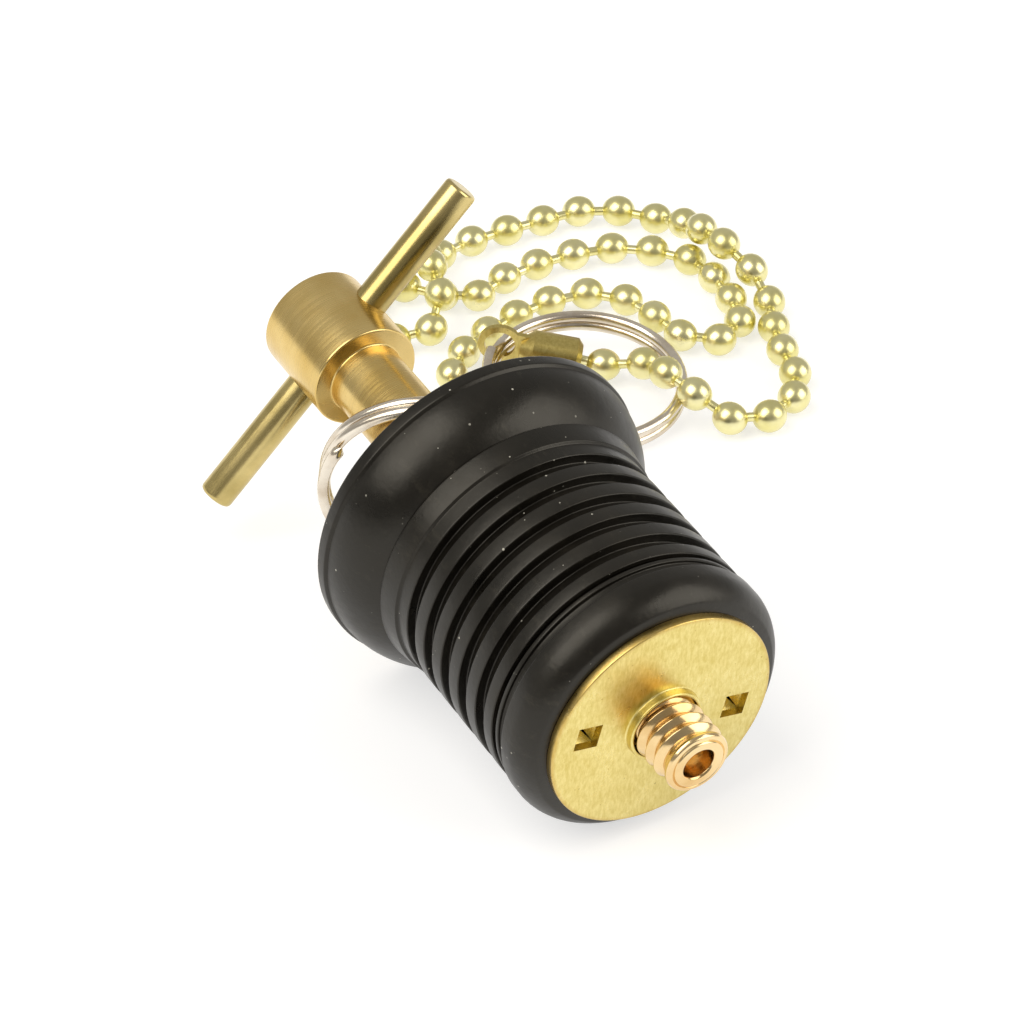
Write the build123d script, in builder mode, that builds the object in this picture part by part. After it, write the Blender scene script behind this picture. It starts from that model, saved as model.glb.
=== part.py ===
from build123d import *
from math import atan2, cos, degrees, radians, sin
import os

# Expanding drain plug for a boat: a ribbed rubber bung on a brass T-handled screw, with its
# split rings and ball chain, lying on its side on a flat surface. Millimetres, +Z up.

# Rubber bung, radii and heights along its own axis from the outer face of the nut plate
BORE_R = 3.35
END_R = 11.4
NOSE_MID = (12.3, 1.8)
BAND_R = 12.8
BAND_FOOT = 3.2
BAND_TOP = 4.4
LINE_R = 12.2
LINE_FOOT = 4.6
RIDGE_R = 12.5
RIDGE_FOOT = 5.4
RIDGE_TOP = 5.8
STEP_RISE = 0.05
RIB_R = 12.65
GROOVE_R = 11.75
FIRST_RIB = 6.15
FIRST_RIB_FLAT = 1.25
SECOND_RIB = 8.8
RIB_PITCH = 2.8
FULL_RIBS = 4
RIB_FLAT = 1.45
RIB_SLOPE = 0.5
SLOPE_END_R = 11.9
STEP_FOOT_R = 12.9
STEP_TOP_R = 13.2
STEP_TOP = 23.6
STEP_EDGE = 0.15
FLARE_FOOT_R = 13.0
FLARE_TOP_R = 15.4
FLARE_BOW = 0.55
RIM_R = 15.65
RIM_FOOT = 29.0
FLANGE_TOP = 30.2
RIM_ROUND = 0.25

# Pressed brass plates at both ends of the rubber
PLATE_R = 10.6
PLATE_T = 0.9
PLATE_BREAK = 0.15
TAP_R = 3.15
BOSS_R = 3.9
BOSS_H = 0.8
PIERCE_SIDE = 2.3
PIERCE_CIRCLE_R = 7.4
PIERCE_TURN = 11
PRONG_H = 1.4
PRONG_T = 0.3
PRONG_ROOM = 0.15

# Turned spindle: head, neck, collar and screw in one piece
SCREW_R = 3.1
SCREW_TIP = -5.7
TIP_R = 2.75
TIP_TAPER = 0.5
TIP_HOLE_R = 1.55
TIP_HOLE_DEPTH = 6.0
HEAD_R = 5.15
COLLAR_ROOM = 0.05
COLLAR_T = 1.8
NECK_R = 3.5
SHOULDER = 49.5
HEAD_TOP = 58.9
HEAD_BREAK = 0.25

# Cross rod through the head
ROD_R = 1.6
ROD_LENGTH = 36.6
ROD_HEIGHT = 54.75
ROD_BREAK = 0.25
ROD_TURN = 132.6

# Split rings, two turns of wire each
RING_R = 9.4
WIRE_R = 0.55
WIRE_SIDES = 8
TURN_PITCH = 1.1
TURNS = 2.1

# Ball chain and the two couplings that close on its end beads
BEADS = 58
BEAD_SIDES = 10
BEAD_BANDS = [(1.58, 0.4), (1.24, 1.02), (0.82, 1.45)]
LINK_R = 0.42
LINK_SIDES = 6
LINK_LENGTH = 2.6
EYE_R = 1.5
TAB_R = 2.15
TAB_T = 0.5
TAB_LENGTH = 2.9
TAB_WIDTH = 3.1
CUP_SECTION = [
    (0, 2.0), (1.0, 2.0), (1.95, 3.2), (1.95, 7.5), (1.4, 8.0), (0.8, 8.0), (0.8, 7.75),
    (1.7, 7.0), (1.7, 3.5), (0, 3.5),
]

# How it lies: on the rim of the flange and on the foot of the plain band, nut plate low
HEADING = 121.1
TILT = degrees(atan2(RIM_R - BAND_R, RIM_FOOT - BAND_FOOT))
AXIS_HEIGHT = RIM_R * cos(radians(TILT)) - RIM_FOOT * sin(radians(TILT))
MIDDLE = (-11.889, 45.811)

# Where the rings lie and where the chain runs, from the foot of the plug's axis
NECK_RING_AT = (-19.62, 34.06, 11.55)
NECK_RING_AXIS = (0.045, 0.987, 0.153)
NECK_RING_START = (-0.8, 0, 0.6)
NECK_EYE_AT = (-19.55, 35.5, 2.3)
NECK_EYE_FACES = (0.999, -0.046, 0)
CHAIN_RING_AT = (-5.3, 63.8, 2.59)
CHAIN_RING_AXIS = (0.058, -0.111, 0.992)
CHAIN_RING_START = (-0.94, -0.34, 0)
CHAIN_EYE_AT = (-13.45, 68.45, 3.85)
CHAIN_EYE_FACES = (0.5, 0.866, 0)
CHAIN_ROUTE = [
    (-7.35, 68.0, 2.75), (-3.2, 67.6, 1.9), (0.6, 66.5, 2.8), (2.5, 63.2, 3.95), (6.2, 59.5, 3.1),
    (9.5, 58.3, 1.65), (12.8, 59.7, 1.6), (15.0, 63.0, 1.6), (15.0, 67.7, 1.6), (13.8, 72.2, 1.6),
    (13.5, 76.4, 1.62), (13.0, 80.0, 2.2), (10.6, 83.3, 4.2), (7.7, 86.7, 4.8), (5.7, 91.2, 3.2),
    (2.7, 94.6, 1.7), (-0.9, 96.2, 1.6), (-5.1, 96.3, 1.6), (-9.2, 94.4, 1.6), (-12.9, 92.5, 1.6),
    (-16.7, 90.3, 1.6), (-19.9, 87.3, 1.8), (-20.6, 83.1, 4.2), (-19.8, 78.6, 4.9),
    (-19.6, 74.3, 2.6), (-22.6, 72.2, 1.6), (-25.8, 74.5, 1.67), (-26.6, 78.7, 1.62),
    (-24.2, 81.8, 1.6), (-20.4, 81.1, 1.6), (-17.0, 79.5, 1.6), (-14.0, 82.4, 1.6),
    (-10.1, 85.9, 1.6), (-6.0, 88.0, 1.6), (-1.3, 89.2, 1.6), (2.7, 88.4, 1.6), (6.5, 86.3, 1.6),
    (8.5, 82.5, 1.6), (10.0, 78.3, 1.6), (9.5, 73.6, 1.6), (6.5, 72.1, 1.6), (3.0, 74.8, 1.6),
    (0.6, 78.2, 1.6), (-3.1, 80.6, 1.6), (-6.9, 80.2, 1.6), (-10.2, 78.0, 1.6),
    (-13.0, 75.7, 1.6), (-15.7, 72.3, 1.6), (-17.9, 67.8, 1.6), (-17.9, 62.1, 1.6),
    (-18.1, 56.4, 1.6), (-18.0, 50.7, 1.6), (-17.9, 45.6, 1.6), (-18.5, 41.6, 2.1),
]


def placed(point):
    """A point given from the foot of the plug's axis, in the frame of the whole part."""
    return Vector(point[0] - MIDDLE[0], point[1] - MIDDLE[1], point[2])


# The plug's own axis: local z runs to the handle, local y up, local x level
heading = Vector(cos(radians(HEADING)), sin(radians(HEADING)), 0)
handle_way = heading * cos(radians(TILT)) + Vector(0, 0, 1) * sin(radians(TILT))
level_way = Vector(0, 0, 1).cross(heading)
plug = Plane(origin=placed((0, 0, AXIS_HEIGHT)), x_dir=level_way, z_dir=handle_way)
section = Plane(origin=plug.origin, x_dir=plug.x_dir, z_dir=-plug.y_dir)
plug_axis = Axis(plug.origin, plug.z_dir)


def across(height, turn):
    """A plane whose normal crosses the plug's axis at this height, turned about the axis."""
    way = plug.x_dir * cos(radians(turn)) + plug.y_dir * sin(radians(turn))
    return Plane(origin=plug.origin + plug.z_dir * height, x_dir=plug.z_dir, z_dir=way)


def rib(foot, flat):
    """One rib: square step out at its foot, level crown, slope back into the next groove."""
    crown = foot + flat
    return [(GROOVE_R, foot), (RIB_R, foot), (RIB_R, crown), (SLOPE_END_R, crown + RIB_SLOPE)]


def rubber_bung():
    band = [(BAND_R, BAND_FOOT), (BAND_R, BAND_TOP)]
    ridge = [(LINE_R, LINE_FOOT), (LINE_R, RIDGE_FOOT - STEP_RISE), (RIDGE_R, RIDGE_FOOT)]
    ridge += [(RIDGE_R, RIDGE_TOP), (LINE_R, RIDGE_TOP + STEP_RISE), (LINE_R, FIRST_RIB - STEP_RISE)]
    ribs = rib(FIRST_RIB, FIRST_RIB_FLAT)
    last_rib = SECOND_RIB
    for _ in range(FULL_RIBS):
        ribs += rib(last_rib, RIB_FLAT)
        last_rib += RIB_PITCH
    step_foot = last_rib + RIB_FLAT
    step = [(GROOVE_R, last_rib), (RIB_R, last_rib), (RIB_R, step_foot)]
    step += [(STEP_FOOT_R, step_foot + STEP_EDGE), (STEP_TOP_R, STEP_TOP)]
    step += [(FLARE_FOOT_R, STEP_TOP + STEP_EDGE)]
    with BuildPart() as bung:
        with BuildSketch(section):
            with BuildLine():
                nose = ThreePointArc((END_R, PLATE_T), NOSE_MID, band[0])
                foot = Polyline(*band, *ridge, *ribs, *step)
                flare = SagittaArc(foot @ 1, (FLARE_TOP_R, RIM_FOOT - RIM_ROUND), FLARE_BOW)
                rim = Polyline(flare @ 1, (RIM_R, RIM_FOOT), (RIM_R, FLANGE_TOP - RIM_ROUND))
                edge = RadiusArc(rim @ 1, (RIM_R - RIM_ROUND, FLANGE_TOP), RIM_ROUND)
                Polyline(edge @ 1, (BORE_R, FLANGE_TOP), (BORE_R, PLATE_T), nose @ 0)
            make_face()
        revolve(axis=plug_axis)
        pocket = PIERCE_SIDE + 2 * (PRONG_T + PRONG_ROOM)
        for face, way in ((PLATE_T, 1), (FLANGE_TOP, -1)):
            with BuildSketch(plug.offset(face)):
                with PolarLocations(PIERCE_CIRCLE_R, 2, start_angle=PIERCE_TURN):
                    Rectangle(pocket, pocket)
            extrude(amount=way * (PRONG_H + PRONG_ROOM), mode=Mode.SUBTRACT)
    return bung


def pierced_plate(outer_face, inward, hole_r, boss_h):
    """A brass disc with two square holes whose pierced prongs point into the rubber."""
    with BuildPart() as plate:
        with BuildSketch(plug.offset(outer_face)):
            Circle(PLATE_R)
        extrude(amount=inward * PLATE_T)
        rims = plate.edges().filter_by(GeomType.CIRCLE)
        chamfer(rims, PLATE_BREAK)
        if boss_h:
            with BuildSketch(plug.offset(outer_face)):
                Circle(BOSS_R)
            extrude(amount=-inward * boss_h)
        with BuildSketch(plug.offset(outer_face)):
            Circle(hole_r)
        extrude(amount=PLATE_T + BOSS_H, both=True, mode=Mode.SUBTRACT)
        with BuildSketch(plug.offset(outer_face)):
            with PolarLocations(PIERCE_CIRCLE_R, 2, start_angle=PIERCE_TURN):
                Rectangle(PIERCE_SIDE, PIERCE_SIDE)
        extrude(amount=inward * PLATE_T, mode=Mode.SUBTRACT)
        root = plug.offset(outer_face + inward * (PLATE_T - PLATE_BREAK))
        height = PRONG_H + PLATE_BREAK
        for hole_turn in (PIERCE_TURN, PIERCE_TURN + 180):
            out = root.x_dir * cos(radians(hole_turn)) + root.y_dir * sin(radians(hole_turn))
            hole_centre = root.origin + out * PIERCE_CIRCLE_R
            for side in range(4):
                turn = radians(hole_turn + 90 * side)
                way = root.x_dir * cos(turn) + root.y_dir * sin(turn)
                wall = Plane(origin=hole_centre + way * (PIERCE_SIDE / 2),
                             x_dir=way.cross(root.z_dir), z_dir=way)
                up = 1 if wall.y_dir.dot(root.z_dir) * inward > 0 else -1
                half = PIERCE_SIDE / 2
                with BuildSketch(wall):
                    with BuildLine():
                        Polyline((-half, 0), (half, 0), (0, up * height), close=True)
                    make_face()
                extrude(amount=PRONG_T)
    return plate


def turned_spindle():
    collar_foot = FLANGE_TOP + PLATE_T + COLLAR_ROOM
    with BuildPart() as spindle:
        with BuildSketch(section):
            with BuildLine():
                Polyline(
                    (0, SCREW_TIP + TIP_HOLE_DEPTH), (TIP_HOLE_R, SCREW_TIP + TIP_HOLE_DEPTH),
                    (TIP_HOLE_R, SCREW_TIP), (TIP_R, SCREW_TIP), (SCREW_R, SCREW_TIP + TIP_TAPER),
                    (SCREW_R, collar_foot), (HEAD_R, collar_foot),
                    (HEAD_R, collar_foot + COLLAR_T), (NECK_R, collar_foot + COLLAR_T),
                    (NECK_R, SHOULDER),
                    (HEAD_R - HEAD_BREAK, SHOULDER), (HEAD_R, SHOULDER + HEAD_BREAK),
                    (HEAD_R, HEAD_TOP - HEAD_BREAK), (HEAD_R - HEAD_BREAK, HEAD_TOP),
                    (0, HEAD_TOP), close=True)
            make_face()
        revolve(axis=plug_axis)
        with BuildSketch(across(ROD_HEIGHT, ROD_TURN)):
            Circle(ROD_R)
        extrude(amount=HEAD_R + 1, both=True, mode=Mode.SUBTRACT)
    return spindle


def cross_bar():
    with BuildPart() as rod:
        with BuildSketch(across(ROD_HEIGHT, ROD_TURN)):
            Circle(ROD_R)
        extrude(amount=ROD_LENGTH / 2, both=True)
        chamfer(rod.edges().filter_by(GeomType.CIRCLE), ROD_BREAK)
    return rod


def split_ring(at, way, start):
    """Two close turns of spring wire, with plainly cut ends."""
    height = TURNS * TURN_PITCH
    side = Vector(*way).cross(Vector(*start))
    seat = Plane(origin=placed(at), x_dir=side.cross(Vector(*way)), z_dir=Vector(*way))
    seat = seat.offset(-height / 2)
    coil = seat.from_local_coords(Helix(pitch=TURN_PITCH, height=height, radius=RING_R))
    with BuildPart() as ring:
        with BuildSketch(Plane(origin=coil @ 0, z_dir=coil % 0)):
            RegularPolygon(WIRE_R, WIRE_SIDES)
        sweep(path=coil, is_frenet=True)
    return ring


def bead_centres():
    """Beads at even pitch along the chain's route."""
    path = Edge.make_spline([placed(point) for point in CHAIN_ROUTE])
    pitch = path.length / (BEADS - 1)
    return [path.position_at(pitch * i, position_mode=PositionMode.LENGTH) for i in range(BEADS)]


def bead():
    """One bead, a ball of flat faces with its poles on the run of the chain."""
    flat_share = cos(radians(180 / BEAD_SIDES))
    with BuildPart() as ball:
        with BuildSketch():
            RegularPolygon(BEAD_BANDS[0][0], BEAD_SIDES)
        extrude(amount=BEAD_BANDS[0][1], both=True)
        for (foot_r, foot), (top_r, top) in zip(BEAD_BANDS, BEAD_BANDS[1:]):
            slope = degrees(atan2((foot_r - top_r) * flat_share, top - foot))
            for way in (1, -1):
                with BuildSketch(Plane.XY.offset(way * foot)):
                    RegularPolygon(foot_r, BEAD_SIDES)
                extrude(amount=way * (top - foot), taper=slope)
    return ball.part


def link():
    """The visible neck of the short pin that joins two beads."""
    with BuildPart() as pin:
        with BuildSketch(Plane.XY.offset(-LINK_LENGTH / 2)):
            RegularPolygon(LINK_R, LINK_SIDES)
        extrude(amount=LINK_LENGTH)
    return pin.part


def ball_chain(centres):
    """Beads strung on short links; each link runs from bead to bead."""
    links = []
    for start, end in zip(centres, centres[1:]):
        links.append(Plane(origin=(start + end) * 0.5, z_dir=end - start).location)
    runs = [centres[1] - centres[0], *[b - a for a, b in zip(centres, centres[2:])]]
    runs.append(centres[-1] - centres[-2])
    seats = [Plane(origin=centre, z_dir=run).location for centre, run in zip(centres, runs)]
    one_bead, one_link = bead(), link()
    with BuildPart() as chain:
        with Locations(*seats):
            add(one_bead)
        with Locations(*links):
            add(one_link)
    return chain


def chain_coupling(at, faces, bead):
    """A cup closed round the end bead, with a flat eye that a split ring passes through."""
    eye = placed(at)
    way = (bead - eye).normalized()
    side = Vector(*faces).cross(way)
    tab = Plane(origin=eye, x_dir=way, z_dir=way.cross(side))
    turning = Plane(origin=eye, x_dir=tab.y_dir, z_dir=tab.y_dir.cross(way))
    with BuildPart() as coupling:
        with BuildSketch(turning):
            with BuildLine():
                Polyline(*CUP_SECTION, close=True)
            make_face()
        revolve(axis=Axis(eye, way))
        with BuildSketch(tab):
            Circle(TAB_R)
            with Locations((TAB_LENGTH / 2, 0)):
                Rectangle(TAB_LENGTH, TAB_WIDTH)
            Circle(EYE_R, mode=Mode.SUBTRACT)
        extrude(amount=TAB_T / 2, both=True)
    return coupling


rubber_body = rubber_bung()
nut_plate = pierced_plate(0, 1, TAP_R, BOSS_H)
top_washer = pierced_plate(FLANGE_TOP + PLATE_T, -1, TAP_R + 0.1, 0)
handle_spindle = turned_spindle()
cross_rod = cross_bar()
neck_ring = split_ring(NECK_RING_AT, NECK_RING_AXIS, NECK_RING_START)
chain_ring = split_ring(CHAIN_RING_AT, CHAIN_RING_AXIS, CHAIN_RING_START)
beads = bead_centres()
chain = ball_chain(beads)
neck_coupling = chain_coupling(NECK_EYE_AT, NECK_EYE_FACES, beads[-1])
ring_coupling = chain_coupling(CHAIN_EYE_AT, CHAIN_EYE_FACES, beads[0])

pieces = {
    "rubber_body": rubber_body,
    "nut_plate": nut_plate,
    "top_washer": top_washer,
    "handle_spindle": handle_spindle,
    "cross_rod": cross_rod,
    "neck_split_ring": neck_ring,
    "chain_split_ring": chain_ring,
    "ball_chain": chain,
    "neck_chain_coupling": neck_coupling,
    "ring_chain_coupling": ring_coupling,
}
os.makedirs("parts", exist_ok=True)
for name, piece in pieces.items():
    piece.part.label = name
    export_step(piece.part, f"parts/{name}.step")
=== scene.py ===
import bpy
import bmesh
from math import cos, pi, radians, sin, tan
from mathutils import Matrix, Vector


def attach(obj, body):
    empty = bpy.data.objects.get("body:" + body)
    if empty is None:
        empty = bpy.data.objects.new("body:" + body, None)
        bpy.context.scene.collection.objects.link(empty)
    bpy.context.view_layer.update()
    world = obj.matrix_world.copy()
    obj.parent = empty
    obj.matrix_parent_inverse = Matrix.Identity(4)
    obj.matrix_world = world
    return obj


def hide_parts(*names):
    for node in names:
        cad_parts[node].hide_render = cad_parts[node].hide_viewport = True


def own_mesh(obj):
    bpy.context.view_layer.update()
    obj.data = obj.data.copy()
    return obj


# An expanding drain plug lying on its side on white paper, with its split rings and ball chain.
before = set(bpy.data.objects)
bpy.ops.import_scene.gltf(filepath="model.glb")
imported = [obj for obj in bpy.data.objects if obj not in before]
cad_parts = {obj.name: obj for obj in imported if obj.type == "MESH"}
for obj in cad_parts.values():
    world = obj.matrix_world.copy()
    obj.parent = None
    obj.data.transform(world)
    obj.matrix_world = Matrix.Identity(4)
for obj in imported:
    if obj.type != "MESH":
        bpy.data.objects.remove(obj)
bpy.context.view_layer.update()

MM = 0.001

# The plug's own axis, as in the solids: z runs from the nut plate to the handle
FOOT = Vector((11.889, -45.811, 12.37126)) * MM
LEVEL_WAY = Vector((-0.8562671, -0.5165333, 0.0))
HANDLE_WAY = Vector((-0.5134104, 0.8510901, 0.1097972))
UP_WAY = HANDLE_WAY.cross(LEVEL_WAY)
PLUG = Matrix.Translation(FOOT) @ Matrix((LEVEL_WAY, UP_WAY, HANDLE_WAY)).transposed().to_4x4()

# Rubber, radii and heights in millimetres along the plug's axis
BORE_R = 3.35
END_R = 11.4
PLATE_T = 0.9
FLANGE_TOP = 30.2
GROOVE_R = 11.75
RIB_R = 12.65
RIB_PITCH = 2.8
RIB_FLAT = 1.45
FIRST_RIB = 6.15
SECOND_RIB = 8.8
RUBBER_EDGE = 0.14
NOSE_MID = (12.3, 1.8)
BAND_FOOT = (12.8, 3.2)
BAND_TOP = (12.8, 4.4)
LIP = [(12.2, 4.6), (12.2, 5.35), (12.5, 5.4), (12.5, 5.8), (12.2, 5.85), (12.2, 6.1)]
FIRST_RIB_FLAT = 1.25
# The sloping step's outline: radius, and height above the step's foot
SLOPE = [(12.9, 1.6), (13.2, 3.6), (13.0, 3.75)]
FLARE_MID = (14.72, 25.96)
FLARE_END = (15.4, 28.75)
RIM_FOOT = (15.65, 29.0)
RIM_EDGE = 0.25
POCKET = 3.2
POCKET_DEPTH = 1.55
PIERCE_CIRCLE_R = 7.4
PIERCE_TURN = 11

# Pressed plates
PLATE_R = 10.6
PLATE_EDGE = 0.17
TAP_R = 3.15
BOSS_R = 3.5
BOSS_H = 0.8
PIERCE_SIDE = 2.3
PRONG_H = 1.45
PRONG_T = 0.25
PRONG_TIP = 0.12
PRONG_ROOT = 0.75
PRONG_LEAN = 33

# Turned brass
SCREW_R = 3.1
THREAD_PITCH = 1.27
THREAD_DEPTH = 0.6
SCREW_TIP = -5.7
TIP_HOLE_R = 1.45
TIP_HOLE_DEPTH = 3.0
DRILL_POINT = 0.7
# The screw's turned tip: radius, and height above SCREW_TIP
TIP_OUTLINE = [(TIP_HOLE_R, 0.2), (TIP_HOLE_R + 0.15, 0), (2.3, 0), (2.42, 0.3), (2.52, 0.12), (2.85, 0.2),
               (2.98, 0.5), (2.9, 0.8)]
TIP_END = 1.1
CORE_R = SCREW_R - THREAD_DEPTH
CORE_END = 4.0
SHANK_R = SCREW_R - 0.1
SHANK_START = 4.6
THREAD_FOOT = SCREW_TIP + 0.85
THREAD_TURNS = 5.8
SPINDLE_EDGE = 0.22
COLLAR_FOOT = 31.15
COLLAR_T = 1.8
HEAD_R = 5.15
NECK_R = 3.5
SHOULDER = 49.5
HEAD_TOP = 58.9
ROD_R = 1.6
ROD_LENGTH = 36.6
ROD_EDGE = 0.45
ROD_HEIGHT = 54.75
ROD_TURN = 132.6

# Split rings and ball chain
RING_R = 9.4
WIRE_R = 0.55
TURN_PITCH = 1.1
TURNS = 2.1
NECK_RING = {"at": (-7.731, -11.751, 11.55), "way": (0.045, 0.987, 0.153), "start": (-0.8, 0, 0.6)}
CHAIN_RING = {"at": (6.589, 17.989, 2.59), "way": (0.058, -0.111, 0.992), "start": (-0.94, -0.34, 0)}
BEAD_R = 1.6
LINK_R = 0.47
BEAD_STRETCH = 1.08
BEADS_AT = [
    (4.54, 22.19, 2.75), (8.5, 21.81, 1.89), (12.35, 20.8, 2.73), (14.36, 17.44, 3.94),
    (17.06, 14.42, 3.55), (20.38, 12.59, 1.97), (24.22, 13.54, 1.57), (26.74, 16.74, 1.61),
    (27.08, 20.82, 1.59), (26.07, 24.82, 1.61), (25.44, 28.9, 1.58), (25.19, 33.01, 1.87),
    (23.55, 36.37, 3.47), (20.87, 39.19, 4.79), (18.74, 42.64, 4.36), (17.15, 46.14, 2.84),
    (14.39, 48.92, 1.67), (10.59, 50.48, 1.61), (6.49, 50.41, 1.6), (2.77, 48.63, 1.6),
    (-0.91, 46.74, 1.6), (-4.5, 44.69, 1.61), (-7.63, 42.03, 1.64), (-8.76, 38.6, 3.46),
    (-8.37, 34.82, 4.99), (-7.46, 30.97, 4.12), (-8.34, 27.6, 2.16), (-11.99, 26.75, 1.56),
    (-14.52, 29.92, 1.68), (-14.33, 33.93, 1.6), (-11.15, 36.17, 1.6), (-7.38, 34.58, 1.6),
    (-3.73, 34.54, 1.6), (-1.12, 37.74, 1.6), (2.12, 40.29, 1.6), (5.81, 42.16, 1.6),
    (9.76, 43.33, 1.6), (13.83, 42.83, 1.6), (17.6, 41.17, 1.6), (19.93, 37.83, 1.6),
    (21.45, 33.98, 1.6), (22.14, 29.93, 1.6), (19.98, 26.64, 1.6), (16.21, 27.4, 1.6),
    (13.74, 30.71, 1.6), (10.99, 33.76, 1.6), (7.11, 34.91, 1.6), (3.3, 33.42, 1.6),
    (0.03, 30.89, 1.6), (-2.82, 27.91, 1.6), (-5.07, 24.44, 1.6), (-6.19, 20.5, 1.6),
    (-6.01, 16.37, 1.6), (-6.13, 12.24, 1.6), (-6.23, 8.1, 1.61), (-6.07, 3.97, 1.59),
    (-6.01, -0.16, 1.6), (-6.61, -4.21, 2.1),
]


def linear(hex_colour):
    """An sRGB hex colour as linear RGBA."""
    parts = [int(hex_colour[i:i + 2], 16) / 255 for i in (1, 3, 5)]
    return (*[p / 12.92 if p <= 0.04045 else ((p + 0.055) / 1.055) ** 2.4 for p in parts], 1.0)


def add(tree, kind, inputs=None, **settings):
    """One node with its settings; an input takes a plain value or the socket that feeds it."""
    node = tree.nodes.new(kind)
    for name, value in settings.items():
        setattr(node, name, value)
    for key, value in (inputs or {}).items():
        if isinstance(value, bpy.types.NodeSocket):
            tree.links.new(value, node.inputs[key])
        else:
            node.inputs[key].default_value = value
    return node


# Materials


def new_finish(name, **values):
    """A named material with its shader's constant values set on the shader itself."""
    material = bpy.data.materials.new(name)
    material.use_nodes = True
    tree = material.node_tree
    shader = tree.nodes["Principled BSDF"]
    for key, value in values.items():
        shader.inputs[key.replace("_", " ")].default_value = value
    return material, tree, shader


def on_plug(tree):
    """Object coordinates measured along and round the plug's own axis."""
    place = add(tree, "ShaderNodeTexCoord").outputs["Object"]
    return add(tree, "ShaderNodeMapping", {
        "Vector": place, "Location": PLUG.translation, "Rotation": PLUG.to_euler()},
        vector_type="TEXTURE").outputs["Vector"]


def ramp(tree, value, stops):
    """A colour ramp from positions and hex colours."""
    node = add(tree, "ShaderNodeValToRGB", {"Fac": value})
    band = node.color_ramp
    while len(band.elements) < len(stops):
        band.elements.new(0.5)
    for element, (position, colour) in zip(band.elements, stops):
        element.position = position
        element.color = linear(colour)
    return node.outputs["Color"]


def span(tree, value, low, high, out_low, out_high):
    """A value carried from one range to another and held at its ends."""
    return add(tree, "ShaderNodeMapRange", {
        "Value": value, "From Min": low, "From Max": high, "To Min": out_low, "To Max": out_high}).outputs["Result"]


def mix(tree, share, first, second):
    """Two colours, as sockets or hex, blended by a share."""
    node = add(tree, "ShaderNodeMix", {"Factor": share}, data_type="RGBA")
    for socket, value in (("A", first), ("B", second)):
        target = [s for s in node.inputs if s.name == socket and s.type == "RGBA"][0]
        if isinstance(value, bpy.types.NodeSocket):
            tree.links.new(value, target)
        else:
            target.default_value = linear(value)
    return [s for s in node.outputs if s.type == "RGBA"][0]


def per(size):
    """A pattern's scale from its real size in millimetres."""
    return 1000.0 / size


def dots(tree, place, size, share, largest):
    """Round specks in cells of a real size in millimetres: a share of the cells hold one, up to largest across."""
    cells = add(tree, "ShaderNodeTexVoronoi", {"Vector": place, "Scale": per(size), "Randomness": 1.0})
    pick = add(tree, "ShaderNodeSeparateColor", {"Color": cells.outputs["Color"]})
    reach = span(tree, pick.outputs["Red"], 1 - share, 1.0, 0.2 * largest / size / 2, largest / size / 2)
    held = add(tree, "ShaderNodeMath", {0: pick.outputs["Red"], 1: 1 - share}, operation="GREATER_THAN")
    inside = add(tree, "ShaderNodeMath", {0: reach, 1: cells.outputs["Distance"]}, operation="SUBTRACT")
    spot = span(tree, inside.outputs[0], 0.0, 0.03, 0.0, 1.0)
    strength = span(tree, pick.outputs["Green"], 0.0, 1.0, 0.15, 1.0)
    shown = add(tree, "ShaderNodeMath", {0: spot, 1: strength}, operation="MULTIPLY")
    return add(tree, "ShaderNodeMath", {0: shown.outputs[0], 1: held.outputs[0]}, operation="MULTIPLY").outputs[0]


def moulded_rubber():
    """Moulded black nitrile rubber: a half-matt skin off a steel mould, with dust, lint and scuffs;
    its warm highlight tint is painted light, the colour of a warm light rather than of the rubber."""
    # The warm Specular Tint is painted light: it colours the highlights as a warm light would.
    material, tree, shader = new_finish(
        "moulded_nitrile_rubber", IOR=1.47, Specular_Tint=linear("#fffaee"))
    place = on_plug(tree)
    cloud = add(tree, "ShaderNodeTexNoise", {"Vector": place, "Scale": per(5.88), "Detail": 6.0, "Roughness": 0.62})
    skin = ramp(tree, cloud.outputs["Fac"], [(0.32, "#0a0805"), (0.55, "#110e09"), (0.75, "#1d1911")])
    rub = add(tree, "ShaderNodeMapping", {"Vector": place, "Scale": (1.0, 1.0, 0.35), "Rotation": (0.3, 0, 0)})
    scuff = add(tree, "ShaderNodeTexNoise", {
        "Vector": rub.outputs["Vector"], "Scale": per(1.43), "Detail": 8.0, "Roughness": 0.75})
    worn = span(tree, scuff.outputs["Fac"], 0.56, 0.78, 0.0, 0.45)
    skin = mix(tree, worn, skin, "#413d33")
    skin = mix(tree, dots(tree, place, 0.8, 0.3, 0.24), skin, "#b9b6aa")
    skin = mix(tree, dots(tree, place, 3.1, 0.14, 0.42), skin, "#c9c6ba")
    tree.links.new(skin, shader.inputs["Base Color"])
    tree.links.new(span(tree, cloud.outputs["Fac"], 0.35, 0.68, 0.27, 0.44), shader.inputs["Roughness"])
    fine = add(tree, "ShaderNodeTexNoise", {"Vector": place, "Scale": per(0.667), "Detail": 4.0, "Roughness": 0.6})
    bump = add(tree, "ShaderNodeBump", {
        "Height": fine.outputs["Fac"], "Strength": 0.3, "Distance": 0.06 * MM})
    tree.links.new(bump.outputs["Normal"], shader.inputs["Normal"])
    return material


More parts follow.
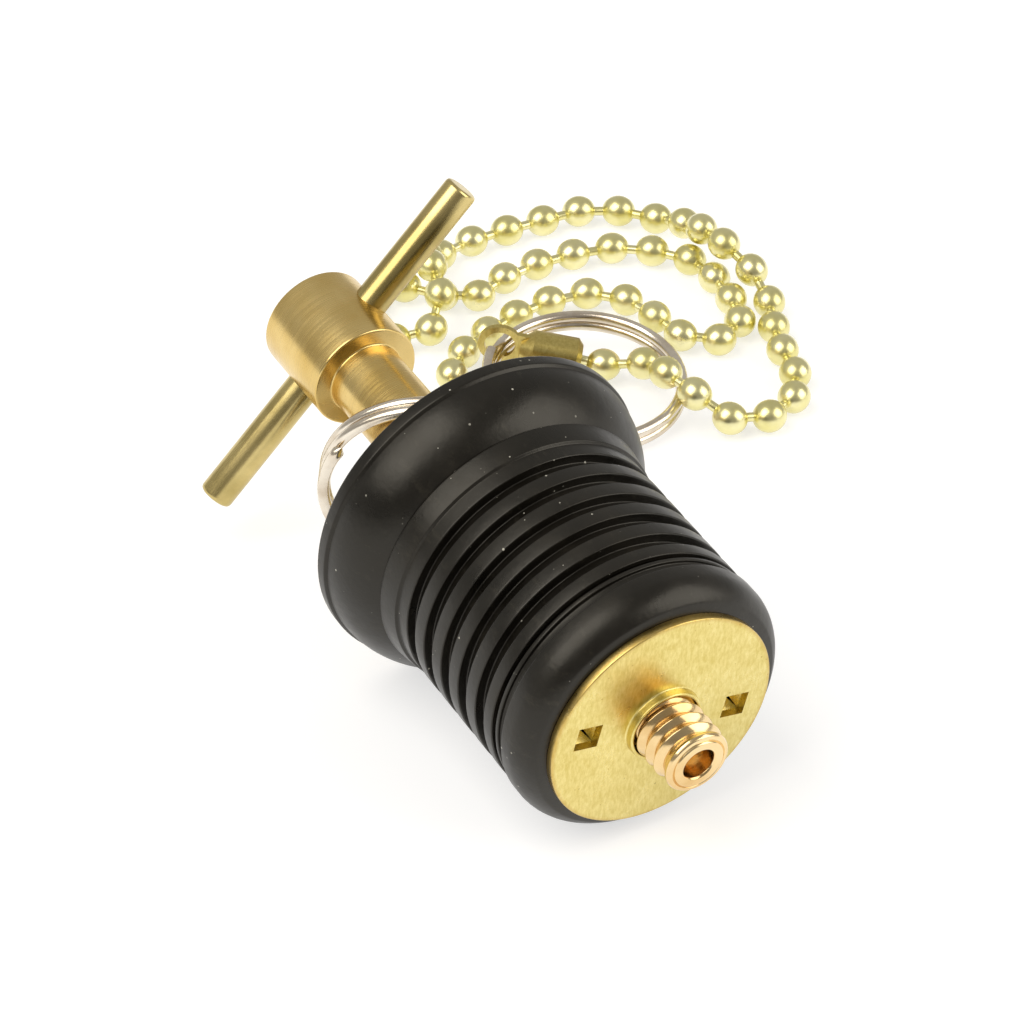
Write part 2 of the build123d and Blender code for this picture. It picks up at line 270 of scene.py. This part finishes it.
def turned_brass(name, light, dark, rough, marks, mark_size):
    """Free-cutting brass off a lathe: fine rings round the axis, with a thin uneven tarnish."""
    material, tree, shader = new_finish(name, Metallic=1.0)
    place = on_plug(tree)
    along = add(tree, "ShaderNodeMapping", {"Vector": place, "Scale": (0.04, 0.04, 1.0)}).outputs["Vector"]
    rings = add(tree, "ShaderNodeTexNoise", {
        "Vector": along, "Scale": per(mark_size), "Detail": 3.0, "Roughness": 0.6})
    tarnish = add(tree, "ShaderNodeTexNoise", {"Vector": place, "Scale": per(4.35), "Detail": 4.0})
    colour = ramp(tree, tarnish.outputs["Fac"], [(0.35, dark), (0.65, light)])
    tree.links.new(colour, shader.inputs["Base Color"])
    tree.links.new(span(tree, rings.outputs["Fac"], 0.3, 0.7, rough - 0.05, rough + 0.07), shader.inputs["Roughness"])
    bump = add(tree, "ShaderNodeBump", {
        "Height": rings.outputs["Fac"], "Strength": marks, "Distance": 0.03 * MM})
    tree.links.new(bump.outputs["Normal"], shader.inputs["Normal"])
    return material


def rolled_brass(name, light, dark, rim_r=None):
    """Rolled brass sheet, pressed and tumbled: soft gloss with fine grain, faint stains and pits.
    A disc of radius rim_r, in millimetres, is browner round its sheared rim."""
    material, tree, shader = new_finish(name, Metallic=1.0)
    place = on_plug(tree)
    stain = add(tree, "ShaderNodeTexNoise", {"Vector": place, "Scale": per(3.85), "Detail": 8.0, "Roughness": 0.75})
    grain = add(tree, "ShaderNodeMapping", {
        "Vector": place, "Scale": (1.0, 0.3, 1.0), "Rotation": (0, 0, radians(20))}).outputs["Vector"]
    lines = add(tree, "ShaderNodeTexNoise", {"Vector": grain, "Scale": per(0.294), "Detail": 4.0, "Roughness": 0.75})
    colour = ramp(tree, stain.outputs["Fac"], [(0.36, dark), (0.58, light)])
    shade = ramp(tree, lines.outputs["Fac"], [(0.38, dark), (0.62, light)])
    colour = mix(tree, 0.6, colour, shade)
    colour = mix(tree, dots(tree, place, 1.1, 0.25, 0.24), colour, "#8d7434")
    colour = mix(tree, dots(tree, place, 0.45, 0.35, 0.16), colour, "#b89a4a")
    if rim_r:
        flat = add(tree, "ShaderNodeVectorMath", {0: place, 1: (1.0, 1.0, 0.0)}, operation="MULTIPLY")
        out = add(tree, "ShaderNodeVectorMath", {0: flat.outputs[0]}, operation="LENGTH").outputs["Value"]
        rim = span(tree, out, (rim_r - 0.4) * MM, rim_r * MM, 0.0, 0.5)
        colour = mix(tree, rim, colour, "#b88a3c")
    tree.links.new(colour, shader.inputs["Base Color"])
    tree.links.new(span(tree, stain.outputs["Fac"], 0.3, 0.7, 0.36, 0.24), shader.inputs["Roughness"])
    bump = add(tree, "ShaderNodeBump", {
        "Height": lines.outputs["Fac"], "Strength": 0.45, "Distance": 0.03 * MM})
    tree.links.new(bump.outputs["Normal"], shader.inputs["Normal"])
    return material


def lacquered_brass():
    """Bright brass strip closed into beads, under a thin pale lacquer that gives the soft yellow."""
    material, tree, shader = new_finish(
        "lacquered_brass_beads", Metallic=1.0, Coat_Weight=0.45, Coat_Roughness=0.12)
    place = add(tree, "ShaderNodeTexCoord").outputs["Object"]
    tone = add(tree, "ShaderNodeTexNoise", {"Vector": place, "Scale": per(3.33), "Detail": 3.0})
    colour = ramp(tree, tone.outputs["Fac"], [(0.35, "#e5dc92"), (0.65, "#f3ecb6")])
    tree.links.new(colour, shader.inputs["Base Color"])
    tree.links.new(span(tree, tone.outputs["Fac"], 0.3, 0.7, 0.35, 0.27), shader.inputs["Roughness"])
    fine = add(tree, "ShaderNodeTexNoise", {"Vector": place, "Scale": per(0.556), "Detail": 2.0})
    bump = add(tree, "ShaderNodeBump", {
        "Height": fine.outputs["Fac"], "Strength": 0.12, "Distance": 0.04 * MM})
    tree.links.new(bump.outputs["Normal"], shader.inputs["Normal"])
    return material


def nickel_wire():
    """Nickel-plated spring wire: bright and slightly warm, with light scuffs."""
    material, tree, shader = new_finish("nickel_plated_spring_wire", Metallic=1.0)
    place = add(tree, "ShaderNodeTexCoord").outputs["Object"]
    tone = add(tree, "ShaderNodeTexNoise", {"Vector": place, "Scale": per(2.0), "Detail": 4.0})
    colour = ramp(tree, tone.outputs["Fac"], [(0.35, "#d6c9b6"), (0.65, "#eae1d2")])
    tree.links.new(colour, shader.inputs["Base Color"])
    tree.links.new(span(tree, tone.outputs["Fac"], 0.3, 0.7, 0.24, 0.16), shader.inputs["Roughness"])
    scuff = add(tree, "ShaderNodeTexNoise", {"Vector": place, "Scale": per(0.333), "Detail": 2.0})
    bump = add(tree, "ShaderNodeBump", {
        "Height": scuff.outputs["Fac"], "Strength": 0.1, "Distance": 0.03 * MM})
    tree.links.new(bump.outputs["Normal"], shader.inputs["Normal"])
    return material


rubber = moulded_rubber()
head_brass = turned_brass("turned_brass_head", "#e4c885", "#d5b56c", 0.25, 0.12, 0.3)
screw_brass = turned_brass("rolled_thread_brass", "#f0d5a2", "#dcb87e", 0.17, 0.08, 0.3)
rod_brass = turned_brass("drawn_brass_rod", "#d6c284", "#b7a468", 0.24, 0.1, 0.5)
plate_brass = rolled_brass("rolled_brass_plate", "#ebdb94", "#d0bb66", PLATE_R)
cup_brass = rolled_brass("pressed_brass_cup", "#d8c67c", "#b8a258")
bead_brass = lacquered_brass()
spring_nickel = nickel_wire()


# Pieces


def finished(piece, name, body, node, material):
    """Names a piece, gives it its material, seats it on its body and hides the solid it stands for."""
    piece.name = name
    piece.data.name = name
    piece.data.materials.clear()
    piece.data.materials.append(material)
    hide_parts(node)
    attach(piece, body)
    return piece


def linked(mesh):
    """A mesh as an object at the origin."""
    piece = bpy.data.objects.new(mesh.name, mesh)
    bpy.context.scene.collection.objects.link(piece)
    return piece


def rounded(section, radius, steps=4):
    """A section with its corners turned on small arcs, smaller where its sides are short."""
    points = [Vector(p) for p in section]
    eased = [points[0]]
    for before, corner, after in zip(points, points[1:], points[2:]):
        back, on = before - corner, after - corner
        half = back.angle(on) / 2
        if half > radians(86):
            eased.append(corner)
            continue
        reach = min(radius / tan(half), 0.45 * back.length, 0.45 * on.length)
        start, end = corner + back.normalized() * reach, corner + on.normalized() * reach
        for i in range(steps + 1):
            t = i / steps
            eased.append(start * (1 - t) ** 2 + corner * 2 * t * (1 - t) + end * t ** 2)
    return eased + [points[-1]]


def turned(name, section, seat, sides):
    """A section of radii and heights in millimetres spun round seat's z axis, closed at its poles."""
    shape = bmesh.new()
    rows = []
    for radius, height in section:
        count = sides if radius > 1e-6 else 1
        rows.append([shape.verts.new((
            radius * cos(2 * pi * i / count), radius * sin(2 * pi * i / count), height)) for i in range(count)])
    for low, high in zip(rows, rows[1:]):
        for i in range(sides):
            j = (i + 1) % sides
            corners = [low[i % len(low)], low[j % len(low)], high[j % len(high)], high[i % len(high)]]
            corners = list(dict.fromkeys(corners))
            if len(corners) > 2:
                shape.faces.new(corners)
    if len(rows[0]) > 1 and len(rows[-1]) > 1:
        for i in range(sides):
            j = (i + 1) % sides
            shape.faces.new([rows[-1][i], rows[-1][j], rows[0][j], rows[0][i]])
    bmesh.ops.recalc_face_normals(shape, faces=shape.faces)
    mesh = bpy.data.meshes.new(name)
    shape.to_mesh(mesh)
    shape.free()
    mesh.transform(seat @ Matrix.Scale(MM, 4))
    mesh.shade_smooth()
    mesh.set_sharp_from_angle(angle=radians(40))
    return linked(mesh)


def bow(start, middle, end, steps=10):
    """Points on the arc through three points, from the one after start to end."""
    (ax, ay), (bx, by), (cx, cy) = start, middle, end
    d = 2 * (ax * (by - cy) + bx * (cy - ay) + cx * (ay - by))
    ux = ((ax * ax + ay * ay) * (by - cy) + (bx * bx + by * by) * (cy - ay) + (cx * cx + cy * cy) * (ay - by)) / d
    uy = ((ax * ax + ay * ay) * (cx - bx) + (bx * bx + by * by) * (ax - cx) + (cx * cx + cy * cy) * (bx - ax)) / d
    centre = Vector((ux, uy))
    first, last = Vector(start) - centre, Vector(end) - centre
    sweep = first.angle_signed(last)
    return [centre + Matrix.Rotation(-sweep * i / steps, 2) @ first for i in range(1, steps + 1)]


def rubber_section():
    """The rubber's outline from nut plate to bore: nose, band, lip, five ribs, sloping step, flare and rim."""
    feet = [(FIRST_RIB, FIRST_RIB_FLAT)] + [(SECOND_RIB + i * RIB_PITCH, RIB_FLAT) for i in range(4)]
    ribs = []
    for foot, flat in feet:
        crown = foot + flat
        ribs += [(GROOVE_R, foot), (RIB_R, foot), (RIB_R, crown), (GROOVE_R + 0.15, crown + 0.5)]
    step_foot = SECOND_RIB + 4 * RIB_PITCH
    step = [(GROOVE_R, step_foot), (RIB_R, step_foot), (RIB_R, step_foot + RIB_FLAT)]
    step += [(radius, step_foot + rise) for radius, rise in SLOPE]
    profile = rounded([BAND_FOOT, BAND_TOP] + LIP + ribs + step, RUBBER_EDGE)
    nose_foot = (END_R, PLATE_T)
    nose = [Vector(nose_foot)] + bow(nose_foot, NOSE_MID, BAND_FOOT)
    flare = bow(step[-1], FLARE_MID, FLARE_END, 14)
    rim_top = (RIM_FOOT[0], FLANGE_TOP)
    rim = rounded([FLARE_END, RIM_FOOT, rim_top, (BORE_R, FLANGE_TOP), (BORE_R, PLATE_T)], RIM_EDGE)
    return nose[:-1] + profile + flare + rim[1:]


def less(piece, cutter):
    """The piece with the cutter's volume taken out of it."""
    cut = piece.modifiers.new("cut", "BOOLEAN")
    cut.operation = "DIFFERENCE"
    cut.solver = "EXACT"
    cut.object = cutter
    bpy.context.view_layer.update()
    piece.data = bpy.data.meshes.new_from_object(piece.evaluated_get(bpy.context.evaluated_depsgraph_get()))
    piece.modifiers.clear()
    bpy.data.objects.remove(cutter)


def hole_seats(face):
    """The two pierced holes of a plate whose outer face is at this height, x pointing outwards."""
    for turn in (PIERCE_TURN, PIERCE_TURN + 180):
        spin = Matrix.Rotation(radians(turn), 4, "Z")
        yield PLUG @ Matrix.Scale(MM, 4) @ spin @ Matrix.Translation((PIERCE_CIRCLE_R, 0, face))


def cut_pockets(piece):
    """Square pockets behind the pierced holes of both plates, where the prongs stand in the rubber."""
    shape = bmesh.new()
    for face in (PLATE_T, FLANGE_TOP):
        for seat in hole_seats(face):
            size = Matrix.Diagonal((POCKET, POCKET, 2 * POCKET_DEPTH, 1))
            bmesh.ops.create_cube(shape, size=1, matrix=seat @ size)
    mesh = bpy.data.meshes.new("pockets")
    shape.to_mesh(mesh)
    shape.free()
    less(piece, linked(mesh))


rubber_bung = turned("rubber_bung", rubber_section(), PLUG, 160)
cut_pockets(rubber_bung)
finished(rubber_bung, "rubber_bung", "bung", "rubber_body", rubber)
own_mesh(rubber_bung)


def pierced_plate(name, face, inward, hole_r, boss_h):
    """A pressed disc with two square holes, the pierced metal standing inwards as four leaning prongs."""
    out, back = face - inward * boss_h, face + inward * PLATE_T
    section = [(hole_r, back), (hole_r, out)]
    if boss_h:
        section += [(BOSS_R, out), (BOSS_R, face)]
    section += [(PLATE_R, face), (PLATE_R, back), (hole_r, back)]
    eased = rounded(section, PLATE_EDGE)
    plate = turned(name, eased[:-1], PLUG, 144)
    shape = bmesh.new()
    for seat in hole_seats(face):
        side = Matrix.Diagonal((PIERCE_SIDE, PIERCE_SIDE, 4 * PLATE_T, 1))
        bmesh.ops.create_cube(shape, size=1, matrix=seat @ side)
    mesh = bpy.data.meshes.new("pierced_holes")
    shape.to_mesh(mesh)
    shape.free()
    less(plate, linked(mesh))
    shape = bmesh.new()
    shape.from_mesh(plate.data)
    half = PIERCE_SIDE / 2
    for seat in hole_seats(face):
        for quarter in range(4):
            lean = (seat @ Matrix.Rotation(pi / 2 * quarter, 4, "Z")
                    @ Matrix.Translation((half, 0, inward * PRONG_ROOT))
                    @ Matrix.Rotation(-inward * radians(PRONG_LEAN), 4, "Y"))
            tip = inward * PRONG_H
            corners = [(0, -half, 0), (0, half, 0), (0, PRONG_TIP, tip), (0, -PRONG_TIP, tip)]
            near = [shape.verts.new(lean @ Vector(c)) for c in corners]
            far = [shape.verts.new(lean @ (Vector(c) + Vector((PRONG_T, 0, 0)))) for c in corners]
            faces = [near, far[::-1]] + [[near[i - 1], far[i - 1], far[i], near[i]] for i in range(4)]
            made = [shape.faces.new(f) for f in faces]
            bmesh.ops.recalc_face_normals(shape, faces=made)
    shape.to_mesh(plate.data)
    shape.free()
    plate.data.set_sharp_from_angle(angle=radians(40))
    return plate


nut_plate = pierced_plate("nut_disc", 0, 1, TAP_R, BOSS_H)
finished(nut_plate, "nut_disc", "nut", "nut_plate", plate_brass)
top_washer = pierced_plate("top_disc", FLANGE_TOP + PLATE_T, -1, TAP_R + 0.1, 0)
finished(top_washer, "top_disc", "bung", "top_washer", plate_brass)

# The spindle: screw, collar, neck and head in one turned piece, with the thread cut on the screw
screw = [(0, SCREW_TIP + TIP_HOLE_DEPTH + DRILL_POINT), (TIP_HOLE_R, SCREW_TIP + TIP_HOLE_DEPTH)]
screw += [(radius, SCREW_TIP + height) for radius, height in TIP_OUTLINE]
screw += [(CORE_R, SCREW_TIP + TIP_END), (CORE_R, CORE_END), (SHANK_R, SHANK_START)]
shank = [(SHANK_R, COLLAR_FOOT), (HEAD_R, COLLAR_FOOT), (HEAD_R, COLLAR_FOOT + COLLAR_T),
         (NECK_R, COLLAR_FOOT + COLLAR_T), (NECK_R, SHOULDER), (HEAD_R, SHOULDER), (HEAD_R, HEAD_TOP), (0, HEAD_TOP)]
spindle = turned("turned_spindle", rounded(screw + shank, SPINDLE_EDGE), PLUG, 128)


def converted(piece, tree, values):
    """Runs a geometry tree on a piece with its named sizes and keeps the result as a plain mesh."""
    run = piece.modifiers.new("build", "NODES")
    run.node_group = tree
    for item in tree.interface.items_tree:
        if item.item_type == "SOCKET" and item.in_out == "INPUT" and item.name in values:
            run[item.identifier] = values[item.name]
    bpy.context.view_layer.update()
    mesh = bpy.data.meshes.new_from_object(piece.evaluated_get(bpy.context.evaluated_depsgraph_get()))
    piece.modifiers.clear()
    piece.data = mesh
    return piece


def new_tree(name, sizes):
    """A geometry tree with a mesh in and out, a material and named sizes."""
    tree = bpy.data.node_groups.new(name, "GeometryNodeTree")
    tree.interface.new_socket("Geometry", in_out="INPUT", socket_type="NodeSocketGeometry")
    tree.interface.new_socket("Geometry", in_out="OUTPUT", socket_type="NodeSocketGeometry")
    tree.interface.new_socket("Material", in_out="INPUT", socket_type="NodeSocketMaterial")
    for size, kind in sizes.items():
        tree.interface.new_socket(size, in_out="INPUT", socket_type=kind)
    return tree, add(tree, "NodeGroupInput"), add(tree, "NodeGroupOutput")


def close_tree(tree, source, geometry, out):
    """Ends a tree as the export needs it: smooth, realized and with its material set."""
    smooth = add(tree, "GeometryNodeSetShadeSmooth", {"Geometry": geometry})
    real = add(tree, "GeometryNodeRealizeInstances", {"Geometry": smooth.outputs[0]})
    done = add(tree, "GeometryNodeSetMaterial", {"Geometry": real.outputs[0], "Material": source.outputs["Material"]})
    tree.links.new(done.outputs[0], out.inputs["Geometry"])


def coil_tree(name, crested):
    """Wire, or a thread's ridge, wound round z and running out to nothing over its first share of length."""
    tree, source, out = new_tree(name, {
        "Turns": "NodeSocketFloat", "Radius": "NodeSocketFloat", "Height": "NodeSocketFloat",
        "Depth": "NodeSocketFloat", "Breadth": "NodeSocketFloat", "Run Out": "NodeSocketFloat",
        "Steps Per Turn": "NodeSocketInt", "Sides": "NodeSocketInt"})
    path = add(tree, "GeometryNodeCurveSpiral", {
        "Resolution": source.outputs["Steps Per Turn"], "Rotations": source.outputs["Turns"],
        "Start Radius": source.outputs["Radius"], "End Radius": source.outputs["Radius"],
        "Height": source.outputs["Height"]})
    upright = add(tree, "GeometryNodeSetCurveNormal", {"Curve": path.outputs[0]}, mode="Z_UP")
    share = add(tree, "GeometryNodeSplineParameter")
    grow = add(tree, "ShaderNodeMapRange", {
        "Value": share.outputs["Factor"], "From Max": source.outputs["Run Out"], "To Min": 0.05})
    swell = add(tree, "GeometryNodeSetCurveRadius", {"Curve": upright.outputs[0], "Radius": grow.outputs[0]})
    size = add(tree, "ShaderNodeCombineXYZ", {
        "X": source.outputs["Depth"], "Y": source.outputs["Breadth"], "Z": 1.0})
    if crested:
        kite = add(tree, "GeometryNodeCurvePrimitiveCircle", {"Resolution": 4, "Radius": 1.0})
        section = add(tree, "GeometryNodeFilletCurve", {
            "Curve": kite.outputs[0], "Count": 3, "Radius": 0.16, "Limit Radius": True}, mode="POLY")
    else:
        section = add(tree, "GeometryNodeCurvePrimitiveCircle", {
            "Resolution": source.outputs["Sides"], "Radius": 1.0})
    shape = add(tree, "GeometryNodeTransform", {"Geometry": section.outputs[0], "Scale": size.outputs[0]})
    thickness = add(tree, "GeometryNodeInputRadius")
    wire = add(tree, "GeometryNodeCurveToMesh", {
        "Curve": swell.outputs[0], "Profile Curve": shape.outputs[0], "Scale": thickness.outputs[0],
        "Fill Caps": True})
    close_tree(tree, source, wire.outputs[0], out)
    return tree


def wound(name, seat, crested, material, values):
    """A coil or thread made by its tree and set in place."""
    piece = linked(bpy.data.meshes.new(name))
    converted(piece, coil_tree(name + "_tree", crested), {"Material": material, **values})
    piece.data.transform(seat)
    piece.data.set_sharp_from_angle(angle=radians(45))
    return piece


thread = wound("screw_thread", PLUG @ Matrix.Translation((0, 0, THREAD_FOOT * MM)), True, screw_brass, {
    "Turns": THREAD_TURNS, "Radius": CORE_R * MM, "Height": THREAD_TURNS * THREAD_PITCH * MM,
    "Depth": (THREAD_DEPTH + 0.04) * MM, "Breadth": THREAD_PITCH / 2 * MM, "Run Out": 0.05,
    "Steps Per Turn": 72})
finished(spindle, "turned_spindle", "handle", "handle_spindle", head_brass)
finished(thread, "screw_thread", "handle", "handle_spindle", screw_brass)
spindle.data.materials.append(screw_brass)
to_plug = PLUG.inverted()
for face in spindle.data.polygons:
    if (to_plug @ face.center).z < COLLAR_FOOT * MM / 2:
        face.material_index = 1

half_rod = ROD_LENGTH / 2
rod_seat = (PLUG @ Matrix.Translation((0, 0, ROD_HEIGHT * MM)) @ Matrix.Rotation(radians(ROD_TURN), 4, "Z")
            @ Matrix.Rotation(radians(90), 4, "Y"))
rod_section = rounded([(0, -half_rod), (ROD_R, -half_rod), (ROD_R, half_rod), (0, half_rod)], ROD_EDGE)
cross_rod = turned("drawn_rod", rod_section, rod_seat, 64)
finished(cross_rod, "drawn_rod", "handle", "cross_rod", rod_brass)


def ring_seat(at, way, start):
    """Where a split ring lies: its axis along way, its outer cut end towards start."""
    axis = Vector(way).normalized()
    side = axis.cross(Vector(start)).cross(axis).normalized()
    turn = Matrix((side, axis.cross(side), axis)).transposed().to_4x4()
    return Matrix.Translation(Vector(at) * MM) @ turn @ Matrix.Translation((0, 0, -TURNS * TURN_PITCH * MM / 2))


for name, node, lie in (("neck_ring", "neck_split_ring", NECK_RING), ("chain_ring", "chain_split_ring", CHAIN_RING)):
    ring = wound(name, ring_seat(**lie), False, spring_nickel, {
        "Turns": TURNS, "Radius": RING_R * MM, "Height": TURNS * TURN_PITCH * MM, "Depth": WIRE_R * MM,
        "Breadth": WIRE_R * MM, "Run Out": 0.0001, "Steps Per Turn": 96, "Sides": 20})
    finished(ring, name, "bung", node, spring_nickel)


def chain_tree():
    """A bead on each point of a run, its poles along the run, and a thin link through them all."""
    tree, source, out = new_tree("ball_chain_run", {
        "Bead Radius": "NodeSocketFloat", "Link Radius": "NodeSocketFloat"})
    run = add(tree, "GeometryNodeMeshToCurve", {"Mesh": source.outputs["Geometry"]})
    tangent = add(tree, "GeometryNodeInputTangent")
    turn = add(tree, "FunctionNodeAlignRotationToVector", {"Vector": tangent.outputs[0]}, axis="Z")
    ball = add(tree, "GeometryNodeMeshUVSphere", {
        "Segments": 24, "Rings": 16, "Radius": source.outputs["Bead Radius"]})
    beads = add(tree, "GeometryNodeInstanceOnPoints", {
        "Points": run.outputs[0], "Instance": ball.outputs[0], "Rotation": turn.outputs[0],
        "Scale": (1.0, 1.0, BEAD_STRETCH)})
    circle = add(tree, "GeometryNodeCurvePrimitiveCircle", {
        "Resolution": 10, "Radius": source.outputs["Link Radius"]})
    links = add(tree, "GeometryNodeCurveToMesh", {
        "Curve": run.outputs[0], "Profile Curve": circle.outputs[0], "Fill Caps": True})
    both = add(tree, "GeometryNodeJoinGeometry")
    tree.links.new(beads.outputs[0], both.inputs[0])
    tree.links.new(links.outputs[0], both.inputs[0])
    close_tree(tree, source, both.outputs[0], out)
    return tree


run_mesh = bpy.data.meshes.new("chain_run")
run_mesh.from_pydata([Vector(p) * MM for p in BEADS_AT], [(i, i + 1) for i in range(len(BEADS_AT) - 1)], [])
ball_chain = converted(linked(run_mesh), chain_tree(), {
    "Material": bead_brass, "Bead Radius": BEAD_R * MM, "Link Radius": LINK_R * MM})
finished(ball_chain, "bead_chain", "bung", "ball_chain", bead_brass)

for node in ("neck_chain_coupling", "ring_chain_coupling"):
    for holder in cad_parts[node].material_slots:
        holder.material = cup_brass

# Studio


def paper():
    """White paper that stays white where it is lit and keeps the plug's shadow."""
    material, tree, shader = new_finish("white_paper", Roughness=0.9, Specular_IOR_Level=0.2)
    tree.nodes.remove(shader)
    rays = add(tree, "ShaderNodeLightPath")
    seen = add(tree, "ShaderNodeMath", {0: rays.outputs["Is Camera Ray"], 1: rays.outputs["Is Glossy Ray"]},
               operation="MAXIMUM")
    seen = add(tree, "ShaderNodeMath", {0: seen.outputs[0], 1: rays.outputs["Is Transmission Ray"]},
               operation="MAXIMUM")
    glow = add(tree, "ShaderNodeMath", {0: seen.outputs[0], 1: 0.6}, operation="MULTIPLY")
    sheet = mix(tree, seen.outputs[0], "#e7e7e7", "#c4c4c4")
    matt = add(tree, "ShaderNodeBsdfDiffuse", {"Color": sheet})
    light = add(tree, "ShaderNodeEmission", {"Strength": glow.outputs[0]})
    total = add(tree, "ShaderNodeAddShader", {0: matt.outputs[0], 1: light.outputs[0]})
    tree.links.new(total.outputs[0], tree.nodes["Material Output"].inputs["Surface"])
    return material


# Half the paper's side and its height, in metres: just under the plug, so that no face lies in its plane
PAPER_HALF = 3
PAPER_DROP = -0.00005
floor_mesh = bpy.data.meshes.new("paper")
corners = [(-PAPER_HALF, -PAPER_HALF), (PAPER_HALF, -PAPER_HALF), (PAPER_HALF, PAPER_HALF), (-PAPER_HALF, PAPER_HALF)]
floor_mesh.from_pydata([(x, y, PAPER_DROP) for x, y in corners], [], [(0, 1, 2, 3)])
floor = linked(floor_mesh)
floor.data.materials.append(paper())

# A dark room behind the camera and pale walls behind the plug
AWAY = Vector((-0.25, 0.93, 0.26)).normalized()
world = bpy.data.worlds.new("studio")
bpy.context.scene.world = world
world.use_nodes = True
sky = world.node_tree
aim = add(sky, "ShaderNodeTexCoord").outputs["Generated"]
away = add(sky, "ShaderNodeVectorMath", {0: aim, 1: AWAY}, operation="DOT_PRODUCT").outputs["Value"]
tone = ramp(sky, span(sky, away, -1.0, 1.0, 0.0, 1.0), [
    (0.05, "#8a8784"), (0.35, "#9a9894"), (0.6, "#a5a39f"), (0.85, "#bbb9b5")])
sky.links.new(tone, sky.nodes["Background"].inputs["Color"])
sky.nodes["Background"].inputs["Strength"].default_value = 1.0

WARM = (1.0, 0.965, 0.91)


def lamp(name, place, size, power):
    """A warm rectangular softbox aimed at the plug, sizes in metres and power in watts."""
    data = bpy.data.lights.new(name, "AREA")
    data.shape = "RECTANGLE"
    data.size, data.size_y = size
    data.energy = power
    data.color = WARM
    holder = bpy.data.objects.new(name, data)
    bpy.context.scene.collection.objects.link(holder)
    holder.location = place
    holder.rotation_euler = (-Vector(place)).to_track_quat("-Z", "Y").to_euler()


lamp("left_softbox", (-0.333, -0.21, 0.537), (0.52, 0.62), 3.1)
lamp("right_softbox", (0.57, -0.13, 0.36), (0.56, 0.56), 2.3)

# A focal length of 4000 pixels in the photograph's 1020, on a sensor 36 mm wide
camera_data = bpy.data.cameras.new("camera")
camera_data.sensor_width = 36.0
camera_data.lens = 141.18
camera_data.clip_end = 20.0
camera = bpy.data.objects.new("camera", camera_data)
bpy.context.scene.collection.objects.link(camera)
camera.location = (-0.000585, -0.300319, 0.219876)
camera.rotation_euler = (radians(53.8335), 0, 0)
bpy.context.scene.camera = camera
bpy.context.scene.view_settings.view_transform = "Standard"
